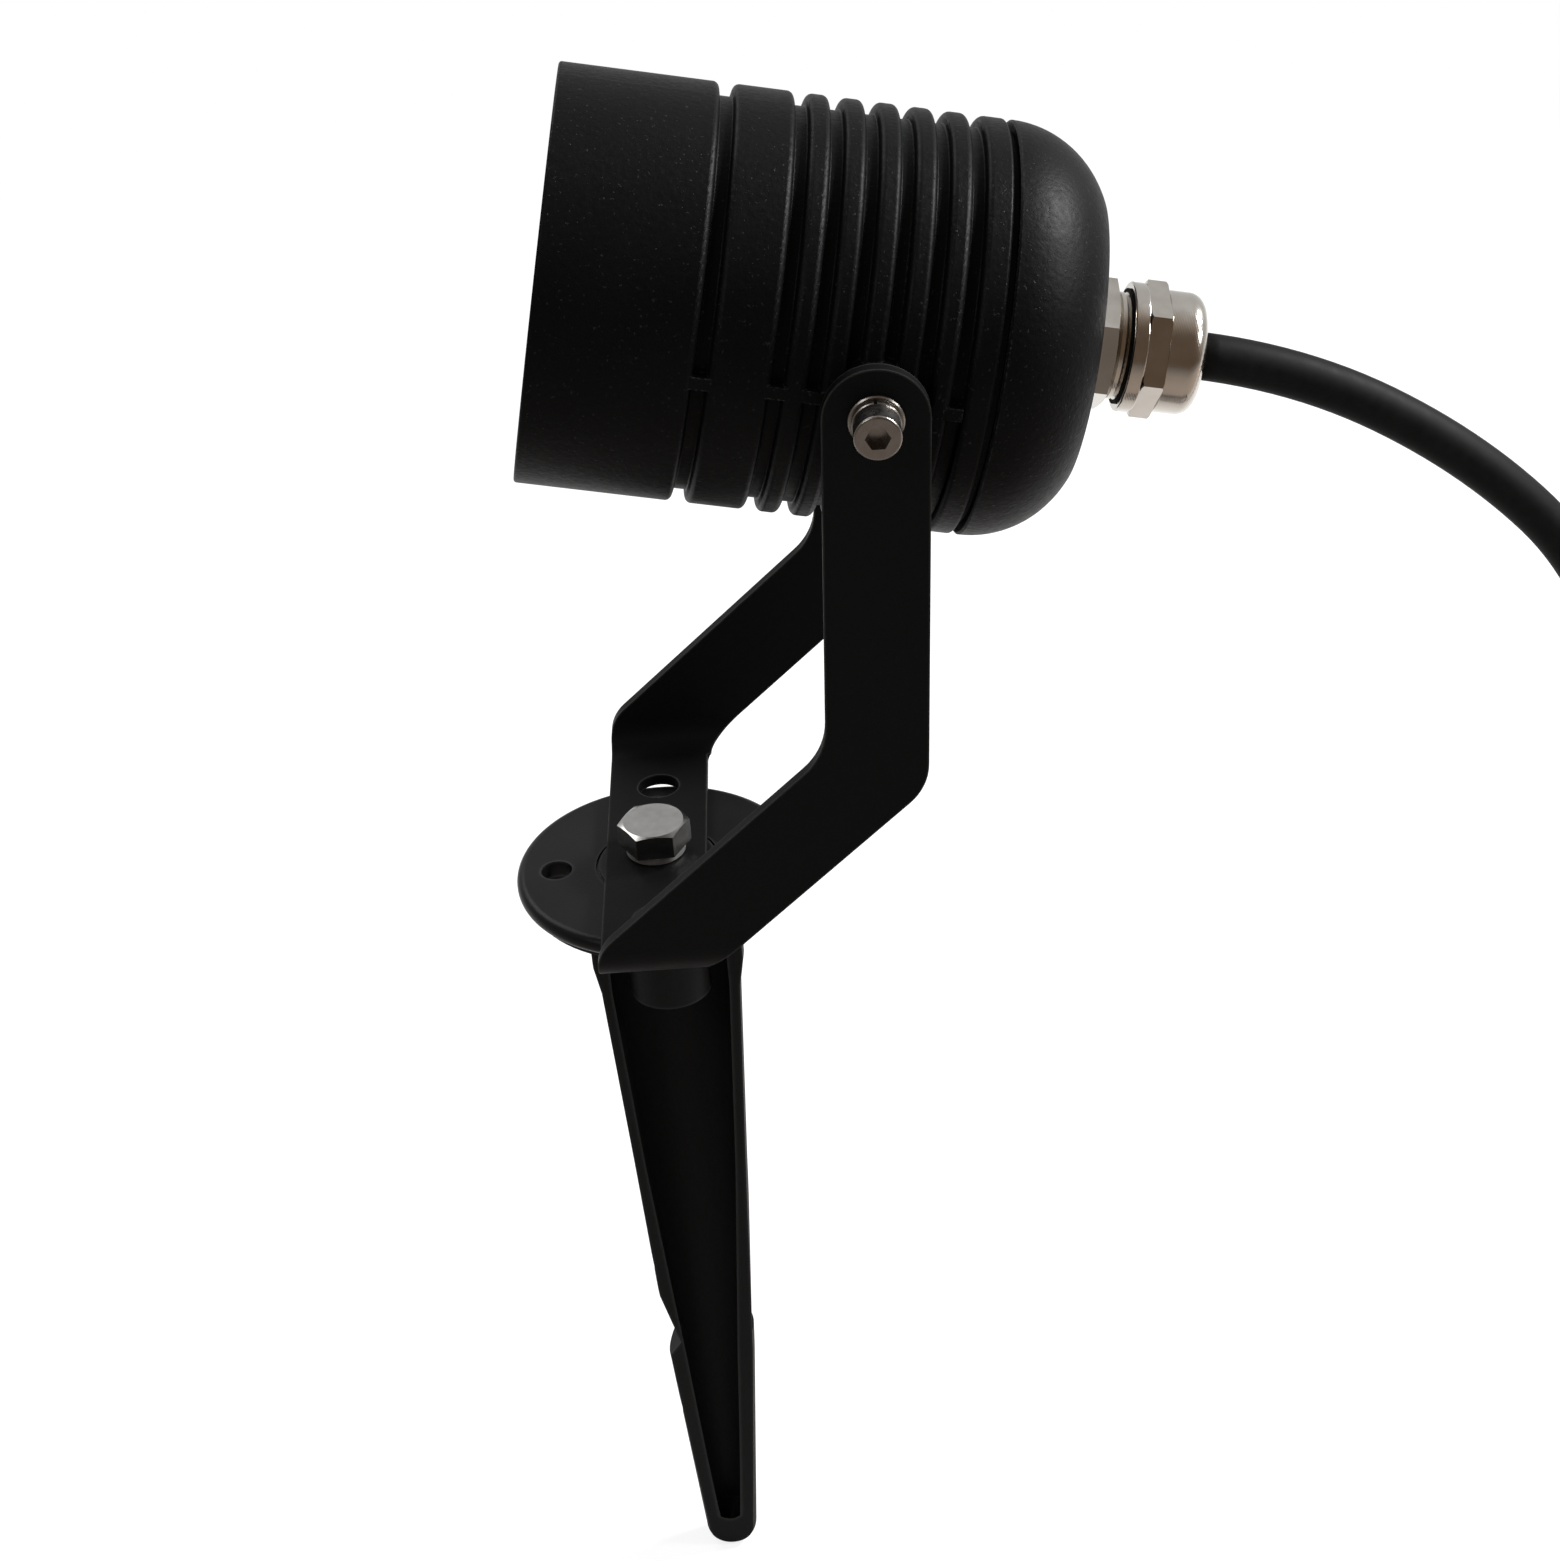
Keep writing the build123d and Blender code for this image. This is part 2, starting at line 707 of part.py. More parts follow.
# ---------------------------------------------------------------- driver and terminals
with BuildPart() as led_driver:
    with BuildSketch(head_plane(partition_rear)):
        RectangleRounded(driver_width, driver_height, driver_edge)
    extrude(amount=driver_length)
    with BuildSketch(head_plane(partition_rear)):
        RectangleRounded(ear_width, driver_height + 2 * ear_height, driver_edge)
        with Locations(
            (0, driver_height / 2 + ear_height / 2),
            (0, -driver_height / 2 - ear_height / 2),
        ):
            Circle(board_screw_radius + fit, mode=Mode.SUBTRACT)
    extrude(amount=ear_thickness)
led_driver.part.label = "led_driver"
export_step(led_driver.part, "parts/led_driver.step")

for name, up in (("driver_screw_upper", 1), ("driver_screw_lower", -1)):
    with BuildPart() as driver_screw:
        with BuildSketch(head_plane(partition_rear + ear_thickness)):
            with Locations((0, up * (driver_height + ear_height) / 2)):
                Circle(board_screw_head_radius)
        extrude(amount=board_screw_head_height)
        with BuildSketch(head_plane(partition_rear + ear_thickness)):
            with Locations((0, up * (driver_height + ear_height) / 2)):
                Circle(board_screw_radius)
        extrude(amount=-board_screw_length + 2 * fit)
    driver_screw.part.label = name
    export_step(driver_screw.part, "parts/" + name + ".step")

with BuildPart() as terminal_block:
    with BuildSketch(head_plane(driver_rear)):
        RectangleRounded(block_width, block_height, driver_edge)
    extrude(amount=block_length)
terminal_block.part.label = "terminal_block"
export_step(terminal_block.part, "parts/terminal_block.step")

# ---------------------------------------------------------------- rear cover and its gasket
with BuildPart() as cover_gasket:
    with BuildSketch(head_plane(head_rear)):
        Circle(joint_floor_radius)
        Circle(rear_bore_radius, mode=Mode.SUBTRACT)
    extrude(amount=joint_width)
cover_gasket.part.label = "cover_gasket"
export_step(cover_gasket.part, "parts/cover_gasket.step")

spigot_radius = rear_bore_radius - free_gap
spigot_inner = spigot_radius - cover_wall
round_start = cover_front + groove_round
round_centre = head_radius - cover_round
shoulder_rise = cover_shoulder - round_start
shoulder_radius = round_centre + (cover_round**2 - shoulder_rise**2) ** 0.5
round_turn = radians(45)
inner_back = cover_back - cover_back_wall
with BuildPart() as rear_cover:
    with BuildSketch(head_section):
        with BuildLine():
            Polyline(
                (cover_front - cover_spigot, spigot_inner),
                (cover_front - cover_spigot, spigot_radius),
                (cover_front, spigot_radius),
                (cover_front, head_radius - groove_round),
                (round_start, head_radius),
            )
            ThreePointArc(
                (round_start, head_radius),
                (
                    round_start + cover_round * sin(round_turn),
                    round_centre + cover_round * cos(round_turn),
                ),
                (cover_shoulder, shoulder_radius),
            )
            Polyline(
                (cover_shoulder, shoulder_radius),
                (cover_back, cover_back_radius),
                (cover_back, gland_thread_radius + fit),
                (inner_back, gland_thread_radius + fit),
                (inner_back, cover_back_radius),
                (inner_back - cover_wall, shoulder_radius - cover_wall),
                (inner_back - 2 * cover_wall, spigot_inner),
                (cover_front - cover_spigot, spigot_inner),
            )
        make_face()
    revolve(axis=head_axis)
rear_cover.part.label = "rear_cover"
export_step(rear_cover.part, "parts/rear_cover.step")

# ---------------------------------------------------------------- cable gland
locknut_corner = locknut_across_flats / 2 / cos(radians(30))
with BuildPart() as gland_locknut:
    with BuildSketch(head_plane(cover_back)):
        RegularPolygon(locknut_across_flats / 2, 6, major_radius=False, rotation=locknut_turn)
        Circle(gland_thread_radius + fit, mode=Mode.SUBTRACT)
    extrude(amount=locknut_thickness)
    with BuildSketch(head_section):
        with BuildLine():
            Polyline(
                (cover_back, 0),
                (cover_back, locknut_corner + fit),
                (locknut_rear - bolt_chamfer / 2, locknut_corner + fit),
                (locknut_rear, locknut_across_flats / 2),
                (locknut_rear, 0),
                (cover_back, 0),
            )
        make_face()
    revolve(axis=head_axis, mode=Mode.INTERSECT)
gland_locknut.part.label = "gland_locknut"
export_step(gland_locknut.part, "parts/gland_locknut.step")

insert_seat = dome_front - 1.5
body_end = insert_seat + insert_length
thread_valley = gland_thread_radius - thread_depth
first_groove = locknut_rear + thread_half_width + 0.02
thread = []
for groove in (first_groove, first_groove + thread_pitch):
    thread += [
        (groove - thread_half_width, gland_thread_radius),
        (groove, thread_valley),
        (groove + thread_half_width, gland_thread_radius),
    ]
with BuildPart() as gland_body:
    with BuildSketch(head_section):
        with BuildLine():
            Polyline(
                (cover_back - gland_inside, gland_inner_radius),
                (cover_back - gland_inside, gland_thread_radius),
                *thread,
                (seal_rear, gland_thread_radius),
                (seal_rear, gland_collar_radius),
                (dome_front, gland_collar_radius),
                (dome_front, dome_bore - fit),
                (body_end, dome_bore - fit),
                (body_end, insert_radius + fit),
                (insert_seat, insert_radius + fit),
                (insert_seat, gland_inner_radius),
                (cover_back - gland_inside, gland_inner_radius),
            )
        make_face()
    revolve(axis=head_axis)
    fillet(
        gland_body.edges().filter_by(GeomType.CIRCLE).sort_by(SortBy.RADIUS)[-2:],
        groove_round,
    )
gland_body.part.label = "gland_body"
export_step(gland_body.part, "parts/gland_body.step")

with BuildPart() as gland_seal:
    with BuildSketch(head_plane(neck_rear)):
        Circle(gland_thread_radius + gland_seal_ring)
        Circle(gland_thread_radius + fit, mode=Mode.SUBTRACT)
    extrude(amount=gland_seal_thickness)
gland_seal.part.label = "gland_seal"
export_step(gland_seal.part, "parts/gland_seal.step")

with BuildPart() as gland_insert:
    with BuildSketch(head_plane(insert_seat)):
        Circle(insert_radius)
        Circle(cable_radius + fit, mode=Mode.SUBTRACT)
    extrude(amount=insert_length)
gland_insert.part.label = "gland_insert"
export_step(gland_insert.part, "parts/gland_insert.step")

with BuildPart() as gland_claw:
    with BuildSketch(head_plane(body_end)):
        Circle(dome_bore - fit)
        Circle(cable_radius + fit, mode=Mode.SUBTRACT)
    extrude(amount=claw_thickness)
gland_claw.part.label = "gland_claw"
export_step(gland_claw.part, "parts/gland_claw.step")

claw_rear = body_end + claw_thickness
hex_end = dome_front + dome_hex_height
dome_corner = dome_across_flats / 2 / cos(radians(30))
with BuildPart() as gland_nut:
    with BuildSketch(head_plane(dome_front)):
        RegularPolygon(dome_across_flats / 2, 6, major_radius=False, rotation=dome_turn)
    extrude(amount=dome_hex_height)
    with BuildSketch(head_section):
        with BuildLine():
            Polyline(
                (dome_front, 0),
                (dome_front, dome_corner - bolt_chamfer / 2),
                (dome_front + bolt_chamfer / 3, dome_corner + fit),
                (hex_end - bolt_chamfer / 3, dome_corner + fit),
                (hex_end, dome_corner - bolt_chamfer / 2),
                (hex_end, 0),
                (dome_front, 0),
            )
        make_face()
    revolve(axis=head_axis, mode=Mode.INTERSECT)
    with BuildSketch(head_section):
        with BuildLine():
            FilletPolyline(
                (hex_end, dome_mouth_radius),
                (hex_end, dome_radius),
                (dome_rear, dome_radius),
                (dome_rear, dome_mouth_radius),
                radius=[fit, dome_round],
            )
            Line((dome_rear, dome_mouth_radius), (hex_end, dome_mouth_radius))
        make_face()
    revolve(axis=head_axis)
    with BuildSketch(head_section):
        with BuildLine():
            Polyline(
                (dome_front, 0),
                (dome_front, dome_bore),
                (claw_rear, dome_bore),
                (claw_rear, dome_mouth_radius),
                (dome_rear, dome_mouth_radius),
                (dome_rear, 0),
                (dome_front, 0),
            )
        make_face()
    revolve(axis=head_axis, mode=Mode.SUBTRACT)
gland_nut.part.label = "gland_nut"
export_step(gland_nut.part, "parts/gland_nut.step")

# ---------------------------------------------------------------- cable inside the head
cable_start = dome_rear + cable_length_out
with BuildPart() as cable_entry:
    with BuildSketch(head_plane(cable_inside)):
        Circle(cable_radius)
    extrude(amount=cable_start - cable_inside)
cable_entry.part.label = "cable_entry"
export_step(cable_entry.part, "parts/cable_entry.step")

core_places = (("live", 90), ("neutral", 210), ("earth", 330))
for name, angle in core_places:
    with BuildPart() as inner_core:
        with BuildSketch(head_plane(block_rear)):
            with PolarLocations(core_spread, 1, angle):
                Circle(core_radius)
        extrude(amount=cable_inside - block_rear)
    inner_core.part.label = "inner_core_" + name
    export_step(inner_core.part, "parts/inner_core_" + name + ".step")

# ---------------------------------------------------------------- pivot fasteners, both sides
for name, side in (("near", -1), ("far", 1)):
    lock_face = side * (arm_outer + flat_washer_thickness)
    head_face = side * (arm_outer + flat_washer_thickness + lock_washer_thickness)
    with BuildPart() as friction_washer:
        with BuildSketch(arm_plane(side * boss_face, side)):
            Circle(friction_washer_radius)
            Circle(screw_radius + fit, mode=Mode.SUBTRACT)
        extrude(amount=friction_washer_thickness)
    friction_washer.part.label = "friction_washer_" + name
    export_step(friction_washer.part, "parts/friction_washer_" + name + ".step")
    with BuildPart() as flat_washer:
        with BuildSketch(arm_plane(side * arm_outer, side)):
            Circle(flat_washer_radius)
        extrude(amount=flat_washer_thickness)
        chamfer(flat_washer.edges(), small_bevel)
        with BuildSketch(arm_plane(side * arm_outer, side)):
            Circle(screw_radius + fit)
        extrude(amount=flat_washer_thickness, mode=Mode.SUBTRACT)
    flat_washer.part.label = "flat_washer_" + name
    export_step(flat_washer.part, "parts/flat_washer_" + name + ".step")
    with BuildPart() as lock_washer:
        with BuildSketch(arm_plane(lock_face, side)):
            Circle(lock_washer_radius)
        extrude(amount=lock_washer_thickness)
        chamfer(lock_washer.edges(), small_bevel)
        with BuildSketch(arm_plane(lock_face, side)):
            Circle(screw_radius + fit)
            with Locations((0, -lock_washer_radius)):
                Rectangle(washer_split / 2, lock_washer_radius)
        extrude(amount=lock_washer_thickness, mode=Mode.SUBTRACT)
    lock_washer.part.label = "lock_washer_" + name
    export_step(lock_washer.part, "parts/lock_washer_" + name + ".step")
    with BuildPart() as pivot_screw:
        with BuildSketch(arm_plane(head_face, side)):
            Circle(screw_head_radius)
        extrude(amount=screw_head_height)
        fillet(
            pivot_screw.edges().sort_by(Axis.Y)[-1 if side > 0 else 0],
            screw_head_radius / 9,
        )
        with BuildSketch(arm_plane(head_face + side * screw_head_height, side)):
            RegularPolygon(screw_socket / 2, 6, major_radius=False)
        extrude(amount=-screw_socket_depth, mode=Mode.SUBTRACT)
        with BuildSketch(arm_plane(head_face, side)):
            Circle(screw_radius)
        extrude(amount=side * (side * arm_outer - head_face) - screw_reach)
    pivot_screw.part.label = "pivot_screw_" + name
    export_step(pivot_screw.part, "parts/pivot_screw_" + name + ".step")

# ---------------------------------------------------------------- free cable
exit_point = pivot + head_direction * cable_start
straight_out = pivot + head_direction * (cable_start + cable_straight)
entry_straight = 2 * cable_radius
coil_entry = (coil_x + coil_outer, coil_y + entry_straight, cable_z)
cable_points = [
    tuple(exit_point),
    tuple(straight_out),
    (163.5, -1.0, 87.8),
    (188.3, -2.5, 62.0),
    (199.3, -4.0, 24.0),
    (203.0, -7.0, -22.0),
    (203.5, -9.0, -80.0),
    (203.0, -12.0, -118.0),
    (202.5, -16.0, -147.5),
    (202.0, -25.4, -166.3),
    (202.0, -40.9, -180.5),
    (202.0, -60.4, cable_z),
    coil_entry,
]
cable_runs = [
    Vector(end) - Vector(start) for start, end in zip(cable_points, cable_points[1:])
]
cable_radii = []
for first, second in zip(cable_runs, cable_runs[1:]):
    half_turn = radians(first.get_angle(second)) / 2
    cable_radii.append(0.45 * min(first.length, second.length) / tan(half_turn))
print("cable radii", [round(radius, 1) for radius in cable_radii])
print("cable runs", [round(run.length, 1) for run in cable_runs])
with BuildPart() as supply_cable:
    with BuildLine() as cable_path:
        FilletPolyline(*cable_points, radius=cable_radii)
    with BuildSketch(head_plane(cable_start)):
        Circle(cable_radius)
    sweep(path=cable_path.wires()[0])
supply_cable.part.label = "supply_cable"
export_step(supply_cable.part, "parts/supply_cable.step")
cable_run_length = cable_path.wires()[0].length
tube_volume = pi * cable_radius**2 * cable_run_length
print("cable length", round(cable_run_length, 1))
print("cable volume over section times length", round(supply_cable.part.volume / tube_volume, 4))

# ---------------------------------------------------------------- coil of the rest of the cable
half_turn_radii = [coil_outer - coil_pitch / 2 * index for index in range(4)]
coil_inner = coil_outer - coil_pitch * 2
with BuildPart() as cable_coil:
    with BuildLine(Plane.XY.offset(cable_z)) as coil_path:
        lead = Line(
            (coil_x + coil_outer, coil_y + entry_straight),
            (coil_x + coil_outer, coil_y),
        )
        turn = lead
        for radius in half_turn_radii:
            turn = JernArc(turn @ 1, turn % 1, radius, -180)
        turn = JernArc(turn @ 1, turn % 1, coil_inner, -90)
        tail = Line(turn @ 1, (turn @ 1) + (turn % 1) * entry_straight)
    with BuildSketch(Plane(origin=coil_entry, x_dir=(1, 0, 0), z_dir=(0, -1, 0))):
        Circle(cable_radius)
    sweep(path=coil_path.wires()[0])
cable_coil.part.label = "cable_coil"
export_step(cable_coil.part, "parts/cable_coil.step")
coil_length = coil_path.wires()[0].length
coil_volume = pi * cable_radius**2 * coil_length
print("coil length", round(coil_length, 1))
print("coil volume over section times length", round(cable_coil.part.volume / coil_volume, 4))

samples = 1200
coil_wire = coil_path.wires()[0]
points = [coil_wire @ (index / samples) for index in range(samples + 1)]
apart = int(samples * 1.5 * coil_inner / coil_length)
least = min(
    (points[one] - points[other]).length
    for one in range(0, samples - apart, 2)
    for other in range(one + apart, samples + 1)
)
print("coil least gap to itself", round(least - 2 * cable_radius, 2))

# ---------------------------------------------------------------- tie, bare cores and ferrules
tie_x = coil_x - coil_pitch / 2
tie_y = coil_y + (half_turn_radii[1] + half_turn_radii[3]) / 2
tie_inner_height = 2 * cable_radius + 2 * tie_gap
tie_inner_width = coil_pitch + tie_inner_height
with BuildPart() as cable_tie:
    with BuildSketch(Plane(origin=(tie_x, tie_y, cable_z), x_dir=(0, 1, 0), z_dir=(1, 0, 0))):
        SlotOverall(tie_inner_width + 2 * tie_thickness, tie_inner_height + 2 * tie_thickness)
        with Locations((0, tie_inner_height / 2 + tie_thickness)):
            Rectangle(tie_width * 1.3, tie_width, align=(Align.CENTER, Align.MIN))
        with Locations((0, tie_inner_height / 2)):
            Rectangle(tie_width * 1.3, tie_width, align=(Align.CENTER, Align.MIN))
        SlotOverall(tie_inner_width, tie_inner_height, mode=Mode.SUBTRACT)
    extrude(amount=tie_width / 2, both=True)
cable_tie.part.label = "cable_tie"
export_step(cable_tie.part, "parts/cable_tie.step")

end_point = coil_wire @ 1
floor_drop = floor_z + ferrule_collar_radius + core_spread / 2 - cable_z
corner_x = end_point.X - core_straight - core_bend
with BuildLine() as core_path:
    FilletPolyline(
        end_point,
        (end_point.X - core_straight, end_point.Y, end_point.Z),
        (corner_x, end_point.Y, end_point.Z + floor_drop),
        (corner_x, end_point.Y + core_run, end_point.Z + floor_drop),
        radius=[core_bend_radius, core_bend_radius],
    )
core_end = core_path.wires()[0] @ 1
end_plane = Plane(origin=end_point, x_dir=(0, -1, 0), z_dir=(-1, 0, 0))
ferrule_plane = Plane(origin=core_end, x_dir=(-1, 0, 0), z_dir=(0, 1, 0))
for name, angle in core_places:
    with BuildPart() as bare_core:
        with BuildSketch(end_plane):
            with PolarLocations(core_spread, 1, angle):
                Circle(core_radius)
        sweep(path=core_path.wires()[0])
    bare_core.part.label = "bare_core_" + name
    export_step(bare_core.part, "parts/bare_core_" + name + ".step")
    with BuildPart() as ferrule:
        with BuildSketch(ferrule_plane):
            with PolarLocations(core_spread, 1, angle):
                Circle(ferrule_collar_radius)
        extrude(amount=ferrule_collar)
        with BuildSketch(ferrule_plane):
            with PolarLocations(core_spread, 1, angle):
                Circle(ferrule_pin_radius)
        extrude(amount=ferrule_collar + ferrule_pin)
    ferrule.part.label = "ferrule_" + name
    export_step(ferrule.part, "parts/ferrule_" + name + ".step")
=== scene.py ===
"""Garden spike spotlight on its ground spike, in the finishes of the real one."""

from math import cos, pi, radians, sin

import bmesh
import bpy
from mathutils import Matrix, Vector


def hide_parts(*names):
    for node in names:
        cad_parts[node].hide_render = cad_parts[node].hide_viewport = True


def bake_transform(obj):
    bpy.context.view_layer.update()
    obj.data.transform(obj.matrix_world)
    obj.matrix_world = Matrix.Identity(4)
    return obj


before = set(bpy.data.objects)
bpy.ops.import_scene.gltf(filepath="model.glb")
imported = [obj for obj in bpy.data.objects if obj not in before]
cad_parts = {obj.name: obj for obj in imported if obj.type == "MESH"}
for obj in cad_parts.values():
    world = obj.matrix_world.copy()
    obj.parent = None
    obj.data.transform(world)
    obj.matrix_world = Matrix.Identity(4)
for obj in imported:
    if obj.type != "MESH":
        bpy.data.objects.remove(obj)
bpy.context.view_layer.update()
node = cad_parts
bpy.ops.object.select_all(action="DESELECT")

# ---------------------------------------------------------------------------
# The studio. A white floor lies under white air, at the level of the spike's tip.
# Two soft lamps stand behind the object, left and right, and two weak ones stand
# nearer to the camera.
scene = bpy.context.scene
scene.view_settings.view_transform = "Standard"
floor_level = -0.1936

eye = bpy.data.objects.new("studio_camera", bpy.data.cameras.new("studio_camera"))
scene.collection.objects.link(eye)
eye.location = (0.0430, -0.5211, 0.3614)
eye.rotation_euler = (radians(56.934), radians(4.063), radians(-0.849))
eye.data.sensor_fit = "HORIZONTAL"
eye.data.sensor_width = 36.0
eye.data.lens = 70.36
eye.data.clip_start = 0.01
scene.camera = eye


class Value:
    """A number that differs from place to place; sums on it add the shader's own maths."""

    def __init__(self, finish, socket):
        self.finish = finish
        self.socket = socket

    def sum(self, operation, *terms):
        maths = self.finish.node("Math", {"operation": operation}, *terms)
        return Value(self.finish, maths.outputs[0])

    def __add__(self, other):
        return self.sum("ADD", self, other)

    def __rsub__(self, other):
        return self.sum("SUBTRACT", other, self)

    def __mul__(self, other):
        return self.sum("MULTIPLY", self, other)

    def sine(self):
        return self.sum("SINE", self)

    __radd__ = __add__
    __rmul__ = __mul__


class Finish:
    """A material: even values stand on its shader and uneven ones are linked to it."""

    def __init__(self, name, **even):
        self.material = bpy.data.materials.new(name)
        self.material.use_nodes = True
        self.tree = self.material.node_tree
        self.shader = self.tree.nodes["Principled BSDF"]
        self.place = self.node("TexCoord").outputs["Object"]
        for socket, value in even.items():
            self.shader.inputs[socket.replace("_", " ")].default_value = value

    def feed(self, socket, value):
        if isinstance(value, Value):
            value = value.socket
        if isinstance(value, bpy.types.NodeSocket):
            self.tree.links.new(value, socket)
        elif socket.type == "RGBA":
            socket.default_value = (*value, 1)
        else:
            socket.default_value = value

    def node(self, kind, settings=None, *terms, **sockets):
        made = self.tree.nodes.new("ShaderNode" + kind)
        for setting, value in (settings or {}).items():
            if setting == "stops":
                for stop, (place, shade) in zip(made.color_ramp.elements, value):
                    stop.position = place
                    stop.color = (shade, shade, shade, 1)
            else:
                setattr(made, setting, value)
        for socket, value in zip(made.inputs, terms):
            self.feed(socket, value)
        for socket, value in sockets.items():
            self.feed(made.inputs[socket.replace("_", " ")], value)
        return made

    def grain(self, size, detail=2.0, stretch=(1, 1, 1)):
        """Noise whose spots are about size metres across."""
        spots = self.node("Mapping", None, Vector=self.place, Scale=stretch).outputs[0]
        noise = self.node("TexNoise", None, Vector=spots, Scale=1 / size, Detail=detail)
        return Value(self, noise.outputs["Fac"])

    def ramp(self, value, *stops):
        """value run through a ramp of two stops, each a place and a shade."""
        return Value(self, self.node("ValToRGB", {"stops": stops}, value).outputs[0])

    def tint(self, amount, plain, other):
        """A colour between plain and other."""
        mix = self.node("Mix", {"data_type": "RGBA"})
        for index, value in ((0, amount), (6, plain), (7, other)):
            self.feed(mix.inputs[index], value)
        return mix.outputs[2]

    def edges(self, width):
        """1 where the surface turns within width metres, 0 on the flat."""
        soft = self.node("Bevel", {"samples": 6}, Radius=width)
        sharp = self.node("NewGeometry").outputs["Normal"]
        product = {"operation": "DOT_PRODUCT"}
        facing = self.node("VectorMath", product, soft.outputs[0], sharp)
        straight = Value(self, facing.outputs["Value"])
        return self.ramp(1 - straight, (0.01, 0.0), (0.12, 1.0))

    def bump(self, height, depth, strength):
        """Raises the surface by up to depth metres where height is high."""
        raised = self.node("Bump", None, Height=height, Distance=depth, Strength=strength)
        self.set(Normal=raised.outputs[0])

    def set(self, **uneven):
        for socket, value in uneven.items():
            self.feed(self.shader.inputs[socket.replace("_", " ")], value)

    def on(self, *names):
        """Gives this finish to CAD nodes, or to new pieces."""
        for name in names:
            piece = node[name] if isinstance(name, str) else name
            piece.data.materials.clear()
            piece.data.materials.append(self.material)


ground = Finish("floor_white", Roughness=0.9, Specular_IOR_Level=0.0)
seen = ground.node("LightPath")
shown = Value(ground, seen.outputs["Is Camera Ray"])
glossy = Value(ground, seen.outputs["Is Glossy Ray"])
through = Value(ground, seen.outputs["Is Transmission Ray"])
spot = ground.node("SeparateXYZ", None, ground.place)
depth = Value(ground, spot.outputs["Y"])
behind = ground.ramp(depth + 0.5, (0.35, 0.1), (0.85, 1.0))
front = glossy * (1 - behind)
ground.set(Base_Color=ground.tint(front, (0.93, 0.93, 0.93), (0.16, 0.11, 0.075)))
reach = ground.node("VectorMath", {"operation": "LENGTH"}, ground.place)
fade = ground.ramp(Value(ground, reach.outputs["Value"]), (0.5, 0.8), (1.0, 1.0))
mirrored_share = 0.8
white = ground.node("Emission", None, Color=(1, 1, 1), Strength=1.0)
lit = shown * fade + (through + glossy * behind) * mirrored_share
both = ground.node("MixShader", None, lit)
ground.feed(both.inputs[1], ground.shader.outputs[0])
ground.feed(both.inputs[2], white.outputs[0])
ground.feed(ground.tree.nodes["Material Output"].inputs[0], both.outputs[0])
floor_drop = 0.0002
bpy.ops.mesh.primitive_plane_add(size=6.0, location=(0, 0, floor_level - floor_drop))
floor = bpy.context.object
floor.name = "studio_floor"
ground.on(floor)
bpy.ops.object.select_all(action="DESELECT")


class Air(Finish):
    """The world round the object, where a place is the direction looked in."""

    def __init__(self, world):
        world.use_nodes = True
        self.tree = world.node_tree
        self.shader = self.tree.nodes["Background"]
        self.place = self.node("TexCoord").outputs["Generated"]

    def rise(self, axis, low, high, weakest, strongest):
        """A strength that changes from low to high along an axis of the direction."""
        parts = self.node("SeparateXYZ", None, self.place)
        span = (parts.outputs[axis], low, high, weakest, strongest)
        return Value(self, self.node("MapRange", None, *span).outputs[0])


scene.world = bpy.data.worlds.new("studio_air")
air = Air(scene.world)
ray = air.node("LightPath")
in_metal = Value(air, ray.outputs["Is Glossy Ray"])
in_glass = Value(air, ray.outputs["Is Transmission Ray"])
in_view = Value(air, ray.outputs["Is Camera Ray"])
strength = air.rise("Z", -0.6, 0.9, 0.06, 0.55)
mirrored = air.rise("Y", -0.5, 0.5, 0.16, 0.75)
strength = strength * (1 - in_metal) + in_metal * mirrored
strength = strength * (1 - in_glass) + in_glass
strength = strength * (1 - in_view) + in_view
room_side = in_metal * air.rise("Y", -0.5, 0.3, 1.0, 0.0)
air.set(Strength=strength, Color=air.tint(room_side, (1, 1, 1), (1, 0.70, 0.48)))

lamp_aim = Vector((0.03, 0, 0))
for name, place, size, power in (
    ("lamp_left", (-0.6, -0.7, 0.9), 0.5, 4.0),
    ("lamp_right", (1.05, -0.15, 0.60), 0.3, 9.0),
    ("lamp_behind_left", (-0.65, 0.75, 1.05), 0.8, 8.0),
    ("lamp_behind_right", (0.95, 0.30, 0.85), 0.3, 32.0),
):
    lamp = bpy.data.objects.new(name, bpy.data.lights.new(name, "AREA"))
    scene.collection.objects.link(lamp)
    lamp.location = place
    towards = lamp_aim - lamp.location
    lamp.rotation_euler = towards.to_track_quat("-Z", "Y").to_euler()
    lamp.data.size = size
    lamp.data.energy = power

# ---------------------------------------------------------------------------
# Ground spike: glass-filled nylon moulded in one piece, a half pipe that tapers to
# the tip, with a barb on one edge and a boss for the bolt's nut. The skin is dull,
# with faint flow marks along its length and a painted highlight along its edges.
spike_skin = Finish("spike_nylon", Roughness=0.5, Specular_IOR_Level=0.05)
flow = spike_skin.grain(0.012, 3.0, (1, 1, 0.12))
pores = spike_skin.grain(0.0006, 2.0)
# painted highlight: every edge of the spike is drawn lighter
painted_edge_highlight = spike_skin.edges(0.0012) * 0.8
streaks = spike_skin.tint(flow, (0.003, 0.003, 0.0031), (0.006, 0.006, 0.006))
spike_skin.set(
    Base_Color=spike_skin.tint(painted_edge_highlight, streaks, (0.014, 0.014, 0.0135)),
    Roughness=0.42 + flow * 0.2,
)
spike_skin.bump(pores * 0.5 + flow, 0.00012, 0.6)
spike_skin.on("ground_spike")
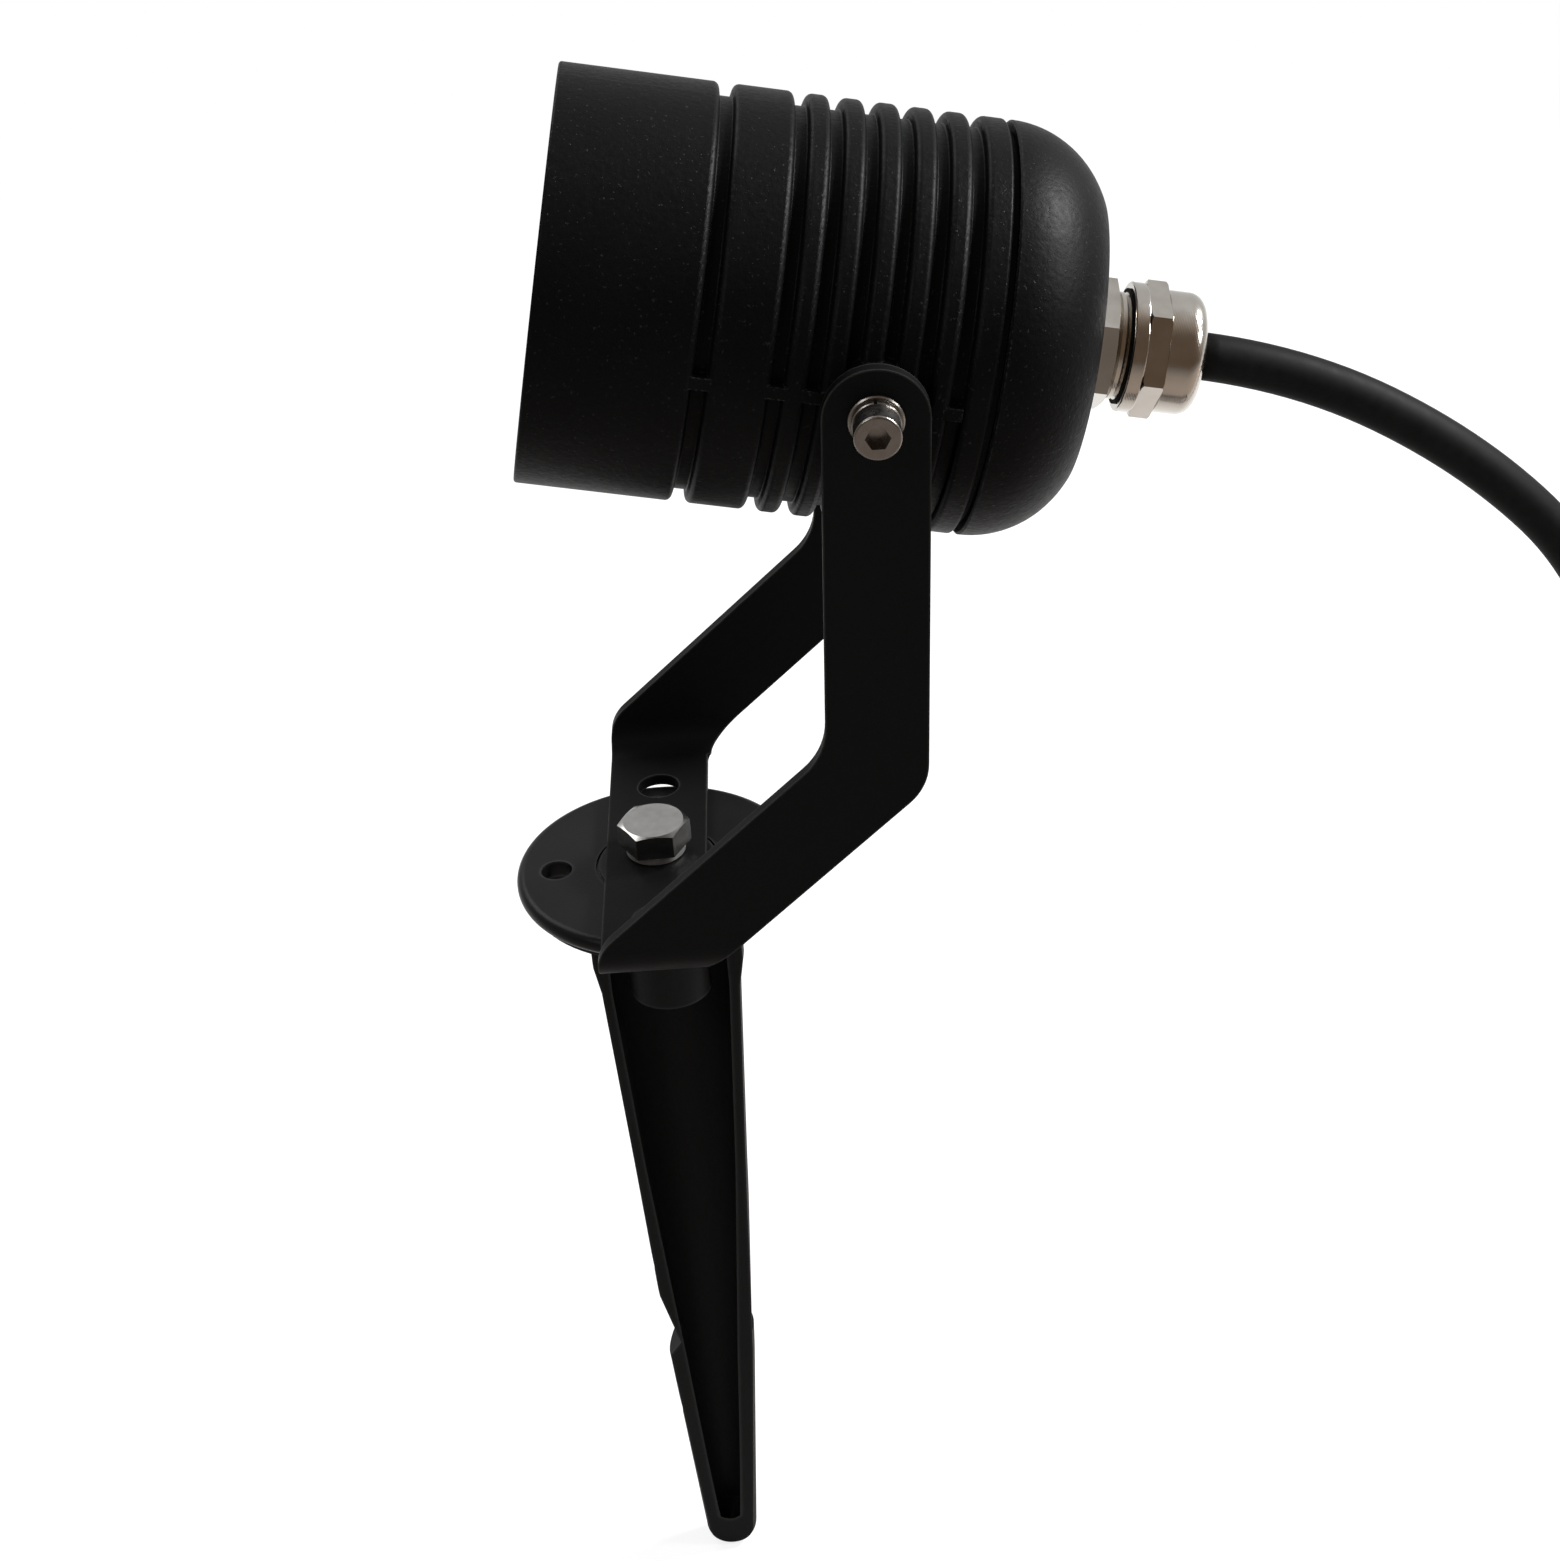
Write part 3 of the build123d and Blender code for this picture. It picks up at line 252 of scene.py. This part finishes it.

# ---------------------------------------------------------------------------
# Mounting disc: a plain moulded plate under the bracket, smoother than the
# spike, with a rounded rim and screw holes. Its edges carry a painted highlight.
disc_skin = Finish("disc_plastic", Roughness=0.34, Specular_IOR_Level=0.08)
haze = disc_skin.grain(0.02, 3.0)
satin = disc_skin.grain(0.0004, 2.0)
# painted highlight: the rim and other edges are lighter, unevenly
painted_rim_highlight = disc_skin.edges(0.0012) * (0.4 + haze)
hazy = disc_skin.tint(haze, (0.003, 0.003, 0.0033), (0.007, 0.007, 0.0074))
disc_skin.set(
    Base_Color=disc_skin.tint(painted_rim_highlight, hazy, (0.024, 0.024, 0.025)),
    Roughness=0.26 + haze * 0.16,
)
disc_skin.bump(satin, 0.00004, 0.5)
disc_skin.on("mounting_disc")

# ---------------------------------------------------------------------------
# Swivel bolt: a hexagon screw of stainless steel over a split spring washer,
# with its nut held in the spike. The head is forged, so its faces are uneven.
# The washer's steel is paler and duller, its paleness a painted highlight.
steel = Finish("stainless_steel", Metallic=1.0, Roughness=0.25)
forged = steel.grain(0.0025, 4.0)
steel.set(
    Base_Color=steel.tint(forged, (0.275, 0.27, 0.262), (0.39, 0.38, 0.37)),
    Roughness=0.14 + forged * 0.16,
)
steel.bump(forged, 0.00002, 0.3)
steel.on("hex_bolt", "captive_nut")
# the washer's steel is painted paler than the bolt's, standing in for its highlight
lit_washer_steel = Finish("washer_steel_painted_highlight", Metallic=1.0, Roughness=0.4)
washer_grain = lit_washer_steel.grain(0.002, 3.0)
lit_washer_steel.set(
    Base_Color=lit_washer_steel.tint(washer_grain, (0.60, 0.59, 0.57), (0.75, 0.74, 0.72)),
    Roughness=0.34 + washer_grain * 0.16,
)
lit_washer_steel.on("spring_washer")

# ---------------------------------------------------------------------------
# Yoke bracket: steel strip cut, drilled and folded to a cranked U, painted
# black. The cut edges are lighter in patches, partly bare where the thin paint
# is worn and partly a painted highlight.
paint = Finish("bracket_paint", Roughness=0.5, Specular_IOR_Level=0.04)
patchy = paint.grain(0.004, 3.0)
# lighter cut edges: partly worn paint, partly a painted highlight
edge_wear_and_highlight = paint.edges(0.0007) * (0.4 + patchy)
orange_peel = paint.grain(0.0007, 2.0)
paint.set(
    Base_Color=paint.tint(edge_wear_and_highlight, (0.003, 0.003, 0.0031), (0.024, 0.0235, 0.0225)),
    Roughness=0.42 + patchy * 0.15,
)
paint.bump(orange_peel, 0.00005, 0.5)
paint.on("yoke_bracket")

# ---------------------------------------------------------------------------
# Lamp head: die-cast aluminium housing with cooling ribs and a rear cover that
# screws into it, both powder coated. The coat is matt and finely grained, with
# small pits. Its pale specks are painted glints, and its rib edges are lighter
# in patches, partly worn coat and partly a painted highlight.
coat = Finish("powder_coat", Roughness=0.45, Specular_IOR_Level=0.05)
lumps = coat.grain(0.0011, 3.0)
# pale specks painted into the coat's colour as glints
glint_specks = coat.ramp(coat.grain(0.0007, 1.0), (0.68, 0.0), (0.78, 1.0))
cast = coat.grain(0.015, 2.0)
grit = coat.ramp(coat.grain(0.0006, 2.0), (0.45, 0.0), (0.7, 1.0))
# lighter rib edges in patches: partly worn coat, partly a painted highlight
rib_edge_wear_and_highlight = coat.edges(0.0005) * grit
pale = glint_specks * 0.22 + rib_edge_wear_and_highlight * 0.9
powder = coat.tint(cast, (0.0012, 0.0012, 0.0014), (0.0024, 0.0024, 0.0026))
coat.set(
    Base_Color=coat.tint(pale, powder, (0.03, 0.03, 0.031)),
    Roughness=0.36 + lumps * 0.2,
)
coat.bump(lumps + glint_specks * 0.6, 0.00018, 0.5)
coat.on("finned_housing", "rear_cover")

# ---------------------------------------------------------------------------
# Seals: soft black rubber rings behind the glass, between the housing and its
# cover, under the gland's collar and round the cable inside the gland.
rubber = Finish("seal_rubber", Roughness=0.7, Specular_IOR_Level=0.06)
bloom = rubber.grain(0.003, 3.0)
rubber.set(
    Base_Color=rubber.tint(bloom, (0.003, 0.003, 0.003), (0.008, 0.008, 0.0076)),
    Roughness=0.6 + bloom * 0.2,
)
rubber.on("cover_gasket", "glass_gasket", "gland_seal", "gland_insert")

# ---------------------------------------------------------------------------
# Front glass: a thick toughened disc with a ground edge, held in the hood on its
# gasket, clear and faintly dusty.
pane = Finish("window_glass", Transmission_Weight=1.0, IOR=1.5, Roughness=0.04)
dust = pane.grain(0.004, 4.0)
pane.set(Base_Color=(0.93, 0.95, 0.95), Roughness=0.02 + dust * 0.08)
pane.on("front_glass")

# ---------------------------------------------------------------------------
# Light source: a yellow emitter on a white lacquered aluminium board, inside a
# polished reflector, screwed to the housing's partition.
bright = Finish("reflector_metal", Metallic=1.0, Roughness=0.12)
rings = bright.grain(0.004, 2.0)
bright.set(
    Base_Color=bright.tint(rings, (0.82, 0.82, 0.83), (0.9, 0.9, 0.9)),
    Roughness=0.08 + rings * 0.1,
)
bright.on("reflector")
lacquer = Finish("board_lacquer", Roughness=0.35)
mottle = lacquer.grain(0.002, 2.0)
lacquer.set(Base_Color=lacquer.tint(mottle, (0.78, 0.78, 0.76), (0.86, 0.86, 0.85)))
lacquer.on("led_board")
phosphor = Finish("emitter_phosphor", Roughness=0.3)
cells = phosphor.grain(0.0012, 1.0)
phosphor.set(Base_Color=phosphor.tint(cells, (0.80, 0.55, 0.06), (0.93, 0.72, 0.16)))
phosphor.on("led_emitter")
steel.on(
    "board_screw_upper", "board_screw_lower", "driver_screw_upper", "driver_screw_lower"
)

# ---------------------------------------------------------------------------
# Driver and terminal block in pale plastic, and the wires and cores in coloured
# sleeves, all closed inside the head behind the partition.
case = Finish("driver_case", Roughness=0.45)
shell = case.grain(0.003, 2.0)
case.set(Base_Color=case.tint(shell, (0.70, 0.70, 0.67), (0.80, 0.80, 0.78)))
case.on("led_driver", "terminal_block")
for core, colour_name, low, high in (
    ("live", "brown", (0.10, 0.035, 0.012), (0.16, 0.06, 0.02)),
    ("neutral", "blue", (0.015, 0.07, 0.35), (0.03, 0.12, 0.48)),
    ("earth", "green", (0.06, 0.28, 0.03), (0.45, 0.42, 0.03)),
):
    skin = Finish("core_" + colour_name, Roughness=0.35)
    stripe = skin.ramp(skin.grain(0.0022, 0.0), (0.48, 0.0), (0.52, 1.0))
    skin.set(Base_Color=skin.tint(stripe, low, high))
    skin.on("inner_core_" + core, "bare_core_" + core)
red = Finish("wire_red", Roughness=0.4)
red.set(Base_Color=red.tint(red.grain(0.003), (0.35, 0.01, 0.01), (0.5, 0.02, 0.02)))
red.on("led_wire_positive")
rubber.on("led_wire_negative")

# ---------------------------------------------------------------------------
# Cable gland: turned from brass and nickel plated, a locknut against the cover,
# a collar on a seal and a domed nut. Fine turning lines run round each piece.
nickel = Finish("nickel_plate", Metallic=1.0, Roughness=0.16)
head_slope = radians(12.07)
line_rate = 14000.0
level = nickel.node("Mapping", None, Vector=nickel.place, Rotation=(0, head_slope, 0))
turned = nickel.node("SeparateXYZ", None, level.outputs[0])
along = Value(nickel, turned.outputs["X"])
turning = (along * line_rate).sine()
film = nickel.grain(0.004, 3.0)
nickel.set(
    Base_Color=nickel.tint(film, (0.40, 0.37, 0.33), (0.52, 0.495, 0.455)),
    Roughness=0.10 + film * 0.14,
)
nickel.bump(turning, 0.00001, 0.35)
nickel.on("gland_locknut", "gland_body", "gland_nut")
nylon = Finish("black_nylon", Roughness=0.45, Specular_IOR_Level=0.15)
wax = nylon.grain(0.003, 2.0)
nylon.set(Base_Color=nylon.tint(wax, (0.005, 0.005, 0.005), (0.010, 0.010, 0.010)))
nylon.on("gland_claw", "friction_washer_near", "friction_washer_far", "cable_tie")

# ---------------------------------------------------------------------------
# Pivot screws: stainless socket screws over spring and flat washers, screwed
# through the yoke's arms into the head. Their steel is darker than the bolt's.
socket_steel = Finish("socket_screw_steel", Metallic=1.0, Roughness=0.3)
screw_grain = socket_steel.grain(0.0015, 3.0)
socket_steel.set(
    Base_Color=socket_steel.tint(screw_grain, (0.17, 0.16, 0.149), (0.25, 0.237, 0.222)),
    Roughness=0.2 + screw_grain * 0.16,
)
socket_steel.on(
    "pivot_screw_near",
    "pivot_screw_far",
    "lock_washer_near",
    "lock_washer_far",
    "flat_washer_near",
    "flat_washer_far",
)

# ---------------------------------------------------------------------------
# Supply cable: one length of round rubber cable from the gland, down to the
# floor and into a tied coil, with its bare end cut back to three cores.
sheath = Finish("cable_rubber", Roughness=0.55, Specular_IOR_Level=0.05)
matt = sheath.grain(0.002, 3.0)
sheath.set(
    Base_Color=sheath.tint(matt, (0.0025, 0.0025, 0.0026), (0.0055, 0.0055, 0.0055)),
    Roughness=0.48 + matt * 0.16,
)
sheath.bump(matt, 0.00008, 0.5)
sheath.on("cable_entry")
tin = Finish("tinned_copper", Metallic=1.0, Roughness=0.3)
tin.set(Base_Color=tin.tint(tin.grain(0.002), (0.55, 0.53, 0.50), (0.7, 0.68, 0.65)))
cores = ("live", "neutral", "earth")
tin.on(*["ferrule_" + core for core in cores])

cable_radius = 0.0045
tie_thickness = 0.0008
tie_gap = 0.00012
cable_height = floor_level + tie_thickness + tie_gap + cable_radius
leaving = Vector((cos(head_slope), 0, -sin(head_slope)))
pivot = Vector((0.050, 0, 0.1247))
gland_reach = 0.0627
cable_exit = pivot + leaving * gland_reach
cable_straight = 0.020
route = [
    cable_exit,
    cable_exit + leaving * cable_straight,
    (0.1635, -0.0010, 0.0878),
    (0.1883, -0.0025, 0.0620),
    (0.1993, -0.0040, 0.0240),
    (0.2030, -0.0070, -0.0220),
    (0.2035, -0.0090, -0.0800),
    (0.2030, -0.0120, -0.1180),
    (0.2025, -0.0160, -0.1475),
    (0.2020, -0.0254, -0.1663),
    (0.2020, -0.0409, -0.1805),
    (0.2020, -0.0604, cable_height),
    (0.2020, -0.0910, cable_height),
]
coil_centre = Vector((0.1448, -0.100))
coil_outer = 0.0572
coil_gap = 0.0016
coil_pitch = 2 * cable_radius + coil_gap
half_turns = 4
coil_inner = coil_outer - coil_pitch * half_turns / 2
points_in_half = 7
points_in_quarter = 4
end_straight = 0.009


def wind(centre, radius, start, sweep, count):
    """Adds count points to the route, round an arc that runs clockwise from start."""
    corner_radius = radius / cos(sweep / count / 2)
    for step in range(count):
        angle = start - sweep * (step + 0.5) / count
        spot = centre + Vector((cos(angle), sin(angle))) * corner_radius
        route.append((*spot, cable_height))


for half in range(half_turns):
    middle = coil_centre - Vector((coil_pitch / 2 * (half % 2), 0))
    wind(middle, coil_outer - half * coil_pitch / 2, -pi * half, pi, points_in_half)
wind(coil_centre, coil_inner, -pi * half_turns, pi / 2, points_in_quarter)
for run in (0.0048, end_straight):
    route.append((coil_centre.x - run, coil_centre.y - coil_inner, cable_height))

line_data = bpy.data.curves.new("cable_line", "CURVE")
line_data.dimensions = "3D"
line_data.resolution_u = 12
line = line_data.splines.new("NURBS")
line.points.add(len(route) - 1)
for point, place in zip(line.points, route):
    point.co = (*place, 1.0)
line.order_u = 3
line.use_endpoint_u = True
line_object = bpy.data.objects.new("cable_line", line_data)
scene.collection.objects.link(line_object)
line_mesh = bpy.data.meshes.new_from_object(line_object)
centres = [vertex.co.copy() for vertex in line_mesh.vertices]
bpy.data.objects.remove(line_object)

sides = 20
turns = [2 * pi * side / sides for side in range(sides)]
tube = bmesh.new()
across = Vector((0, 1, 0))
rings = []
for index, centre in enumerate(centres):
    onward = centres[min(index + 1, len(centres) - 1)] - centres[max(index - 1, 0)]
    onward.normalize()
    across = (across - onward * across.dot(onward)).normalized()
    upward = onward.cross(across)
    spokes = [across * cos(angle) + upward * sin(angle) for angle in turns]
    rings.append([tube.verts.new(centre + spoke * cable_radius) for spoke in spokes])
for ring, following in zip(rings, rings[1:]):
    for side in range(sides):
        after = (side + 1) % sides
        tube.faces.new((ring[side], ring[after], following[after], following[side]))
tube.faces.new(reversed(rings[0]))
tube.faces.new(rings[-1])
bmesh.ops.recalc_face_normals(tube, faces=tube.faces)
for face in tube.faces:
    face.smooth = len(face.verts) == 4
cable_mesh = bpy.data.meshes.new("rubber_cable")
tube.to_mesh(cable_mesh)
tube.free()
cable_piece = bpy.data.objects.new("rubber_cable", cable_mesh)
scene.collection.objects.link(cable_piece)
sheath.on(cable_piece)
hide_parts("supply_cable", "cable_coil")
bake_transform(cable_piece)
